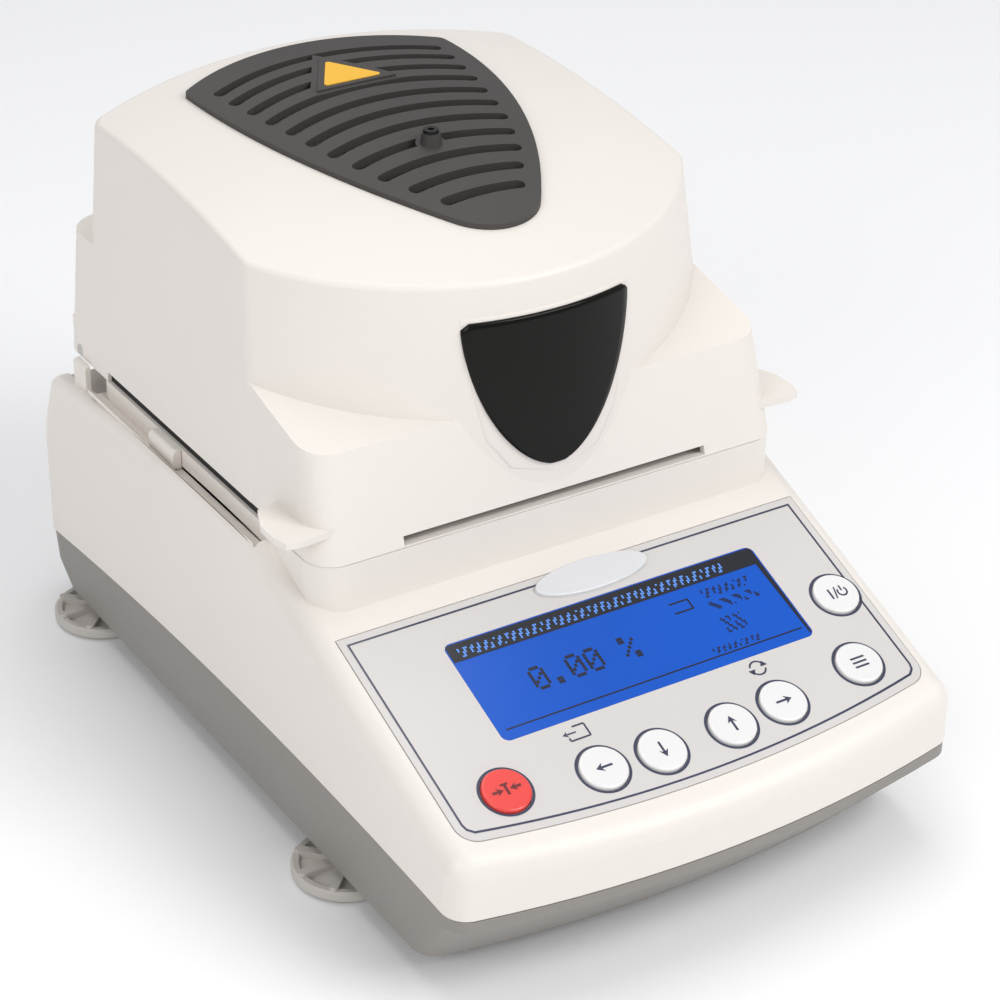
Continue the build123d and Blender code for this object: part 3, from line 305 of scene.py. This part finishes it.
# Triangular plate on the grille. A bare yellow plastic plate with rounded corners,
# glued on a raised pad.
plate_yellow = moulded_plastic(
    "plate_yellow", (0.93, 0.52, 0.03), (0.90, 0.48, 0.025), 0.3, 700, 0.05
)
dress("top_plate", plate_yellow)


# Smoked window. A polished, nearly black acrylic moulding let into the front of the
# head, clipped from behind.
def polished_plastic(name, colour, shade, roughness):
    """Polished plastic with a clear coat."""
    material, tree, shader, place, cloud, tint = shaded_material(
        name, shade, colour, 14, 2, 0.35, 0.65
    )
    shader.inputs["Coat Weight"].default_value = 0.6
    shader.inputs["Coat Roughness"].default_value = 0.05
    vary_gloss(tree, shader, cloud, roughness, roughness + 0.05)
    return material


smoked_acrylic = polished_plastic(
    "smoked_acrylic", (0.008, 0.007, 0.006), (0.004, 0.004, 0.003), 0.10
)
smoked_gloss = smoked_acrylic.node_tree.nodes["Principled BSDF"]
smoked_gloss.inputs["Specular IOR Level"].default_value = 0.12
smoked_gloss.inputs["Coat Weight"].default_value = 0.12
dress("visor_window", smoked_acrylic)


# The rounded body of the head at its foot, and what changes from there to its top
dome_foot_z = 0.1219
dome_height = 0.1183
dome_half = 0.0984
dome_half_loss = 0.00777
dome_front_y = -0.0558
dome_front_run = 0.0085
dome_corner_y = -0.0098
dome_corner_run = 0.0181


def dome_front(x, z, proud):
    """How far forward the rounded body of the head reaches, and a little more."""
    rise = (z - dome_foot_z) / dome_height
    half = dome_half - dome_half_loss * rise
    middle = dome_front_y + dome_front_run * rise
    side = dome_corner_y + dome_corner_run * rise
    radius = (half * half + (side - middle) ** 2) / (2 * (side - middle))
    return middle + radius - sqrt((radius + proud) ** 2 - x * x)


def curved_plate(name, top, low, half_at, proud, sunk, edge, material):
    """Plate bent to the front of the head. half_at gives its half width at a height;
    proud and sunk are how far it stands out of the surface and reaches into it."""
    rows = 48
    columns = 24
    build = bmesh.new()

    def layer(depth, inset):
        points = []
        for i in range(rows + 1):
            t = 1 - (1 - i / rows) ** 1.7
            z = top - inset - (top - low - 2 * inset) * t
            half = max(half_at(z) - inset, 0.0003)
            points.append([
                build.verts.new((
                    half * (2 * j / columns - 1),
                    dome_front(half * (2 * j / columns - 1), z, depth),
                    z,
                ))
                for j in range(columns + 1)
            ])
        return points

    def rim(points):
        loop = points[0][:]
        loop += [row[-1] for row in points[1:]]
        loop += points[-1][-2::-1]
        loop += [row[0] for row in points[-2:0:-1]]
        return loop

    face = layer(proud, edge)
    shoulder = layer(proud - edge, 0)
    back = layer(-sunk, 0)
    for i in range(rows):
        for j in range(columns):
            build.faces.new((face[i][j], face[i + 1][j], face[i + 1][j + 1], face[i][j + 1]))
            build.faces.new((back[i][j], back[i][j + 1], back[i + 1][j + 1], back[i + 1][j]))
    loops = [rim(face), rim(shoulder), rim(back)]
    for outer, inner in zip(loops, loops[1:]):
        for i in range(len(outer)):
            j = (i + 1) % len(outer)
            build.faces.new((outer[i], outer[j], inner[j], inner[i]))
    loose = [vert for vert in build.verts if not vert.link_faces]
    bmesh.ops.delete(build, geom=loose, context="VERTS")
    bmesh.ops.recalc_face_normals(build, faces=build.faces[:])
    for polygon in build.faces:
        polygon.smooth = True
    piece = linked_piece(name, build, material)
    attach(piece, "head")
    return piece


window_top = 0.1956
window_tip = 0.13695
window_reach = 0.0587
window_half = 0.0346
window_corner = 0.003
side_power = 1.8


def lens_half(z):
    """Half width of the window: nearly straight sides that close in a rounded tip."""
    down = min(max((window_top - z) / window_reach, 0), 1)
    half = window_half * (1 - down ** side_power) ** (1 / side_power)
    corner = window_corner - min(window_top - z, window_corner)
    return half - window_corner + sqrt(window_corner ** 2 - corner ** 2)


smoked_window = curved_plate(
    "smoked_window", window_top, window_tip, lens_half, 0.0013, 0.0012, 0.0005, smoked_acrylic
)
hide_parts("visor_window")

# The shell's own frame round the window, as its half width from the tip upwards
frame_stations = [
    (0.1343, 0.002), (0.1385, 0.0184), (0.151, 0.0274), (0.176, 0.0326), (0.1972, 0.0347),
]
frame_tip = frame_stations[0][0]
frame_top = frame_stations[-1][0]


def frame_half(z):
    """Half width of the frame round the window."""
    for (z0, w0), (z1, w1) in zip(frame_stations, frame_stations[1:]):
        if z <= z1:
            return w0 + (w1 - w0) * max(z - z0, 0) / (z1 - z0)
    return frame_stations[-1][1]


window_frame = curved_plate(
    "window_frame", frame_top, frame_tip, frame_half, 0.00012, 0.0005, 0.00008, housing_plastic
)


# Panel film. White printed polyester with a thin navy frame line near its edge and a
# navy ring round each key, printed from behind.
panel_slope = radians(21)
panel_origin = Vector((0, -0.0812, 0.094))
panel_upslope = Vector((0, cos(panel_slope), sin(panel_slope)))
panel_out = Vector((0, -sin(panel_slope), cos(panel_slope)))
panel_axes = Matrix((
    (1, 0, 0, panel_origin.x),
    (0, panel_upslope.y, panel_out.y, panel_origin.y),
    (0, panel_upslope.z, panel_out.z, panel_origin.z),
    (0, 0, 0, 1),
))

film_white = polished_plastic("film_white", (0.63, 0.605, 0.585), (0.615, 0.59, 0.57), 0.34)
film_white.node_tree.nodes["Principled BSDF"].inputs["Coat Weight"].default_value = 0.15
dress("panel_overlay", film_white)

navy_print = polished_plastic("navy_print", (0.035, 0.04, 0.085), (0.03, 0.034, 0.075), 0.3)
film_print_height = 0.00006


def print_on_panel(name, loops, height, material, body="base"):
    """Flat print in the panel plane. Each entry of loops is a closed outline in
    millimetres, or an outer and an inner outline with as many points."""
    build = bmesh.new()
    for loop in loops:
        if isinstance(loop, tuple):
            outer = [build.verts.new((x / 1000, y / 1000, height)) for x, y in loop[0]]
            inner = [build.verts.new((x / 1000, y / 1000, height)) for x, y in loop[1]]
            for i in range(len(outer)):
                j = (i + 1) % len(outer)
                build.faces.new((outer[i], outer[j], inner[j], inner[i]))
        else:
            build.faces.new([build.verts.new((x / 1000, y / 1000, height)) for x, y in loop])
    bmesh.ops.transform(build, matrix=panel_axes, verts=build.verts[:])
    bmesh.ops.recalc_face_normals(build, faces=build.faces[:])
    for face in build.faces:
        if face.normal.dot(panel_out) < 0:
            face.normal_flip()
    piece = linked_piece(name, build, material)
    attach(piece, body)
    return piece


film_half = 97.5
film_top = 15.3
film_low = -84.3
film_bow = 8.9
film_corner = 8


def film_edge(inset):
    """Outline of the film moved in: square at the top, bowed at the bottom."""
    half = film_half - inset
    top = film_top - inset
    low = film_low + inset
    radius = (half * half + film_bow * film_bow) / (2 * film_bow)
    corner = max(film_corner - inset, 1.5)
    side_low = low + film_bow + corner * 0.75
    points = [(half, top), (-half, top), (-half, side_low)]
    points.append((-half + corner * 0.12, side_low - corner * 0.45))
    steps = 24
    for i in range(steps + 1):
        x = -half + corner * 0.55 + (2 * half - corner * 1.1) * i / steps
        points.append((x, low + radius - sqrt(radius * radius - x * x)))
    points.append((half - corner * 0.12, side_low - corner * 0.45))
    points.append((half, side_low))
    return points


print_on_panel(
    "frame_line", [(film_edge(2.7), film_edge(3.5))], film_print_height, navy_print
)


def circle(x, y, radius):
    """Outline of a disc in the panel plane."""
    count = 64
    return [
        (x + radius * cos(2 * pi * i / count), y + radius * sin(2 * pi * i / count))
        for i in range(count)
    ]


key_places = {
    "key_power": (86.5, -31.6),
    "key_menu": (76.0, -61.8),
    "key_right": (39.3, -66.1),
    "key_up": (16.1, -67.8),
    "key_down": (-13.7, -68.1),
    "key_left": (-37.1, -66.8),
    "key_tare": (-73.6, -62.4),
}
key_rings = [(circle(x, y, 10.1), circle(x, y, 9.15)) for x, y in key_places.values()]
print_on_panel("key_rings", key_rings, film_print_height, navy_print)


# Keys. White caps moulded in one piece with their stems, and one red cap; their
# signs are printed on top in navy, and in dark red on the red one.
cap_white = polished_plastic("cap_white", (0.80, 0.79, 0.78), (0.78, 0.77, 0.76), 0.28)
cap_red = polished_plastic("cap_red", (0.80, 0.055, 0.045), (0.77, 0.05, 0.04), 0.28)
dark_print = polished_plastic("dark_print", (0.16, 0.01, 0.012), (0.14, 0.008, 0.01), 0.35)
for key in key_places:
    dress(key, cap_red if key == "key_tare" else cap_white)


def arrow(x, y, turn, length=6.6, head=2.0, line=0.9):
    """Arrow with a filled head, drawn round a centre and turned."""
    shapes = [
        [(-length / 2, -line / 2), (length / 2 - head, -line / 2),
         (length / 2 - head, line / 2), (-length / 2, line / 2)],
        [(length / 2 - 1.5 * head, head * 0.9), (length / 2 - head, 0),
         (length / 2 - 1.5 * head, -head * 0.9), (length / 2, 0)],
    ]
    return [
        [(x + px * cos(turn) - py * sin(turn), y + px * sin(turn) + py * cos(turn))
         for px, py in shape]
        for shape in shapes
    ]


def part_ring(x, y, radius, line, start, end, count=28):
    """Arc of a ring as flat print."""
    shapes = []
    for i in range(count):
        a = start + (end - start) * i / count
        b = start + (end - start) * (i + 1) / count
        shapes.append([
            (x + radius * cos(a), y + radius * sin(a)),
            (x + (radius + line) * cos(a), y + (radius + line) * sin(a)),
            (x + (radius + line) * cos(b), y + (radius + line) * sin(b)),
            (x + radius * cos(b), y + radius * sin(b)),
        ])
    return shapes


def bar(x0, y0, x1, y1, line):
    """Straight printed line between two points."""
    run = Vector((x1 - x0, y1 - y0))
    side = Vector((-run.y, run.x)).normalized() * line / 2
    return [(x0 + side.x, y0 + side.y), (x1 + side.x, y1 + side.y),
            (x1 - side.x, y1 - side.y), (x0 - side.x, y0 - side.y)]


key_signs = {
    "key_right": arrow(*key_places["key_right"], 0),
    "key_left": arrow(*key_places["key_left"], pi),
    "key_up": arrow(*key_places["key_up"], pi / 2),
    "key_down": arrow(*key_places["key_down"], -pi / 2),
    "key_power": [bar(83.9, -33.8, 83.9, -29.2, 0.8), bar(85.4, -34.0, 86.8, -28.9, 0.6)]
    + part_ring(89.0, -31.7, 1.5, 0.7, pi * 0.75, pi * 2.25)
    + [bar(89.0, -31.3, 89.0, -28.9, 0.7)],
    "key_menu": [bar(73.0, -59.9, 79.0, -59.9, 0.8), bar(73.0, -61.8, 79.0, -61.8, 0.8),
                 bar(73.0, -63.7, 79.0, -63.7, 0.8)],
}
cap_print_height = 0.00147
for key, shapes in key_signs.items():
    print_on_panel(key + "_sign", shapes, cap_print_height, navy_print, key)
tare_sign = arrow(-77.0, -62.4, 0, 4.4, 1.8, 1.1) + arrow(-70.2, -62.4, pi, 4.4, 1.8, 1.1)
tare_sign += [bar(-73.6, -64.6, -73.6, -60.4, 1.1), bar(-75.0, -60.2, -72.2, -60.2, 0.9)]
print_on_panel("key_tare_sign", tare_sign, cap_print_height, dark_print, "key_tare")

# Small signs over two keys: a page that leaves a printer, and a pair of arrows
small_signs = [
    bar(-41.5, -52.6, -33.5, -52.6, 0.7), bar(-33.5, -52.6, -33.5, -47.2, 0.7),
    bar(-33.5, -47.2, -38.2, -47.2, 0.7), bar(-41.5, -52.6, -41.5, -51.2, 0.7),
] + arrow(-40.6, -49.6, pi, 5.4, 1.4, 0.6)
for start, end in ((0.1, 0.9), (1.1, 1.9)):
    small_signs += part_ring(39.3, -49.6, 2.6, 0.7, pi * start, pi * end, 12)
small_signs += [
    [(40.6, -49.4), (43.6, -49.4), (42.1, -47.2)], [(35.0, -49.8), (38.0, -49.8), (36.5, -52.0)],
]
print_on_panel("small_signs", small_signs, film_print_height, navy_print)


# Display. A clear window over a blue graphic display: a black strip along the top with small
# pixels, and the reading in large black dot-matrix figures. The top strip is the display's black
# strip together with painted shadow from the window's top edge, and a narrow dark band down the
# right side is painted shadow.
def glowing(name, colour, strength):
    """Backlit field of the display, slightly uneven in brightness."""
    material, tree, shader, place, cloud, tint = shaded_material(
        name, [0.8 * part for part in colour], colour, 12
    )
    shader.inputs["Roughness"].default_value = 0.18
    shader.inputs["Emission Strength"].default_value = strength
    tree.links.new(tint.outputs["Color"], shader.inputs["Emission Color"])
    return material


display_blue = glowing("display_blue", (0.0, 0.075, 0.46), 0.28)
display_black = polished_plastic("display_black", (0.004, 0.005, 0.012), (0.003, 0.004, 0.01), 0.2)
dress("lcd_window", display_blue)

lcd_middle = 2.5
lcd_half = 66
lcd_left = lcd_middle - lcd_half
lcd_right = lcd_middle + lcd_half
strip_left = lcd_left + 0.5
strip_right = lcd_right - 0.5
strip_low = -8.2
display_print_height = 0.00008
# The black strip, a wedge of painted shadow above it up to the window's edge, a band of painted
# shadow down the right side, a thin line and an icon.
strip_and_shadow_shapes = [
    [(strip_left, -1.4), (strip_left, strip_low), (strip_right, strip_low), (strip_right, -1.4)],
    [(lcd_left + 1.6, -0.5), (strip_left, -1.4), (strip_right, -1.4), (lcd_right - 1.6, -0.5)],
    [(lcd_right - 2.6, strip_low), (lcd_right - 1.4, -43.2), (strip_right, -42.6),
     (strip_right, strip_low)],
    [(lcd_left + 3, -39.6), (lcd_left + 3, -40.2), (lcd_right - 3, -40.2),
     (lcd_right - 3, -39.6)],
    bar(24.0, -13.2, 32.0, -13.2, 0.7), bar(32.0, -13.2, 32.0, -17.6, 0.7),
    bar(32.0, -17.6, 24.0, -17.6, 0.7),
]
print_on_panel(
    "display_strip_and_shadow", strip_and_shadow_shapes, display_print_height, display_black, "base"
)


def pixel_rows(left, top, columns, rows, pitch, step):
    """Rows of small pixels with gaps between the groups, like lines of status marks."""
    shapes = []
    size = pitch * 0.85
    for row in range(rows):
        for column in range(columns):
            if (column * step + row * 5) % 7 in (0, 2, 5) and column % 6 != 5:
                x = left + column * pitch
                y = top - row * pitch
                shapes.append([(x, y), (x, y - size), (x + size, y - size), (x + size, y)])
    return shapes


pixel_blue = glowing("pixel_blue", (0.10, 0.26, 0.72), 0.5)
strip_pixels = pixel_rows(lcd_left + 4, -3.0, 138, 5, 0.82, 3)
print_on_panel("strip_pixels", strip_pixels, 0.00011, pixel_blue, "base")
status_marks = pixel_rows(38.5, -11.5, 26, 5, 0.8, 3) + pixel_rows(38.5, -17.5, 26, 5, 0.8, 2)
status_marks += pixel_rows(38.5, -25.0, 11, 9, 0.8, 4) + pixel_rows(28.0, -36.2, 30, 4, 0.7, 3)
print_on_panel(
    "status_marks", status_marks, display_print_height, display_black, "base"
)

figures = {
    "0": ["01110", "10001", "10011", "10101", "11001", "10001", "01110"],
    ".": ["00000", "00000", "00000", "00000", "00000", "01100", "01100"],
    "%": ["11000", "11001", "00010", "00100", "01000", "10011", "00011"],
}


def dots(text, x, y, pitch, rise):
    """Dot-matrix figures as small squares, from their upper left corner."""
    shapes = []
    for place, figure in enumerate(text):
        for row, line in enumerate(figures.get(figure, [])):
            for column, dot in enumerate(line):
                if dot == "1":
                    left = x + (place * 6 + column) * pitch
                    top = y - row * rise
                    right = left + pitch * 0.92
                    low = top - rise * 0.92
                    shapes.append([(left, top), (left, low), (right, low), (right, top)])
    return shapes


display_figures = dots("0.00 %", -41, -19.5, 1.26, 1.45)
print_on_panel(
    "display_figures", display_figures, display_print_height, display_black, "base",
)


# Badge. A bare oval plate of silver-white plastic, glued to the film above the display.
badge_silver = polished_plastic("badge_silver", (0.72, 0.72, 0.73), (0.68, 0.68, 0.70), 0.22)
dress("badge_plate", badge_silver)


# Chamber and heater. Stainless dish and draft ring, aluminium pan on its cross, a
# polished reflector with two quartz lamps behind a clear disc.
drawn_steel = metal("drawn_steel", (0.58, 0.57, 0.55), 0.3, (1, 1, 8))
for node in ("chamber_floor", "draft_ring", "pan_support", "heater_bulkhead",
             "glass_clips", "temperature_sensor", "tray_screws", "hinge_pin_left",
             "hinge_pin_right", "serial_port"):
    dress(node, drawn_steel)
bright_reflector = metal("bright_reflector", (0.82, 0.81, 0.78), 0.12, (1, 1, 1))
dress("reflector", bright_reflector)
pan_aluminium = metal("pan_aluminium", (0.80, 0.80, 0.80), 0.28, (1, 1, 1))
for node in ("sample_pan", "load_cell", "load_cell_base"):
    dress(node, pan_aluminium)


def clear_glass(name, colour):
    """Clear quartz or glass with faint unevenness."""
    material, tree, shader, place, cloud, tint = shaded_material(
        name, [0.95 * part for part in colour], colour, 20
    )
    shader.inputs["Transmission Weight"].default_value = 0.9
    shader.inputs["IOR"].default_value = 1.46
    vary_gloss(tree, shader, cloud, 0.02, 0.06)
    return material


quartz = clear_glass("quartz", (0.95, 0.97, 0.97))
for node in ("protective_glass", "lamp_front", "lamp_rear"):
    dress(node, quartz)
ceramic = moulded_plastic("ceramic", (0.76, 0.74, 0.69), (0.72, 0.70, 0.65), 0.7, 700, 0.3)
dress("lamp_sockets", ceramic)
black_plastic = moulded_plastic(
    "black_plastic", (0.035, 0.035, 0.036), (0.03, 0.03, 0.03), 0.5, 1100, 0.2
)
for node in ("pan_handler", "mains_inlet", "fuse_drawer", "lcd_module"):
    dress(node, black_plastic)


# Electronics. Green printed boards with their parts, and a laminated transformer,
# all inside the tray and seen only when the housing is open.
board_green = polished_plastic("board_green", (0.02, 0.13, 0.05), (0.015, 0.10, 0.04), 0.35)
for node in ("keypad_board", "main_board", "power_board"):
    dress(node, board_green)
core_iron = metal("core_iron", (0.16, 0.15, 0.15), 0.5, (1, 1, 40))
dress("transformer", core_iron)


# Studio. A plain pale floor that runs out to a white background, one large soft lamp
# at the right front, a weaker one at the left, one overhead and an even pale sky.
def studio_floor():
    """Pale floor, wide enough to pass behind the picture's edges."""
    mesh = bpy.data.meshes.new("studio_floor")
    build = bmesh.new()
    bmesh.ops.create_grid(build, x_segments=2, y_segments=2, size=6)
    build.to_mesh(mesh)
    build.free()
    floor = bpy.data.objects.new("studio_floor", mesh)
    bpy.context.scene.collection.objects.link(floor)
    material = bpy.data.materials.new("pale_floor")
    material.use_nodes = True
    tree = material.node_tree
    shader = tree.nodes["Principled BSDF"]
    shader.inputs["Roughness"].default_value = 0.8
    shader.inputs["Base Color"].default_value = (0.93, 0.93, 0.93, 1)
    mesh.materials.append(material)


studio_floor()


def soft_lamp(name, place, size, power):
    """Rectangular lamp that is turned to the instrument."""
    data = bpy.data.lights.new(name, "AREA")
    data.shape = "RECTANGLE"
    data.size = size[0]
    data.size_y = size[1]
    data.energy = power
    lamp = bpy.data.objects.new(name, data)
    lamp.location = place
    lamp.rotation_euler = (Vector((0, 0, 0.1)) - Vector(place)).to_track_quat("-Z", "Y").to_euler()
    bpy.context.scene.collection.objects.link(lamp)


soft_lamp("key_lamp", (0.9, -1.5, 1.6), (1.2, 1.2), 26)
soft_lamp("fill_lamp", (-1.6, -0.9, 1.0), (1.4, 1.0), 12)
soft_lamp("top_lamp", (0.1, 0.5, 2.0), (1.6, 1.6), 14)

world = bpy.data.worlds.new("studio")
world.use_nodes = True
world.node_tree.nodes["Background"].inputs["Color"].default_value = (0.95, 0.96, 1.0, 1)
world.node_tree.nodes["Background"].inputs["Strength"].default_value = 0.45
bpy.context.scene.world = world
bpy.context.scene.view_settings.view_transform = "Standard"
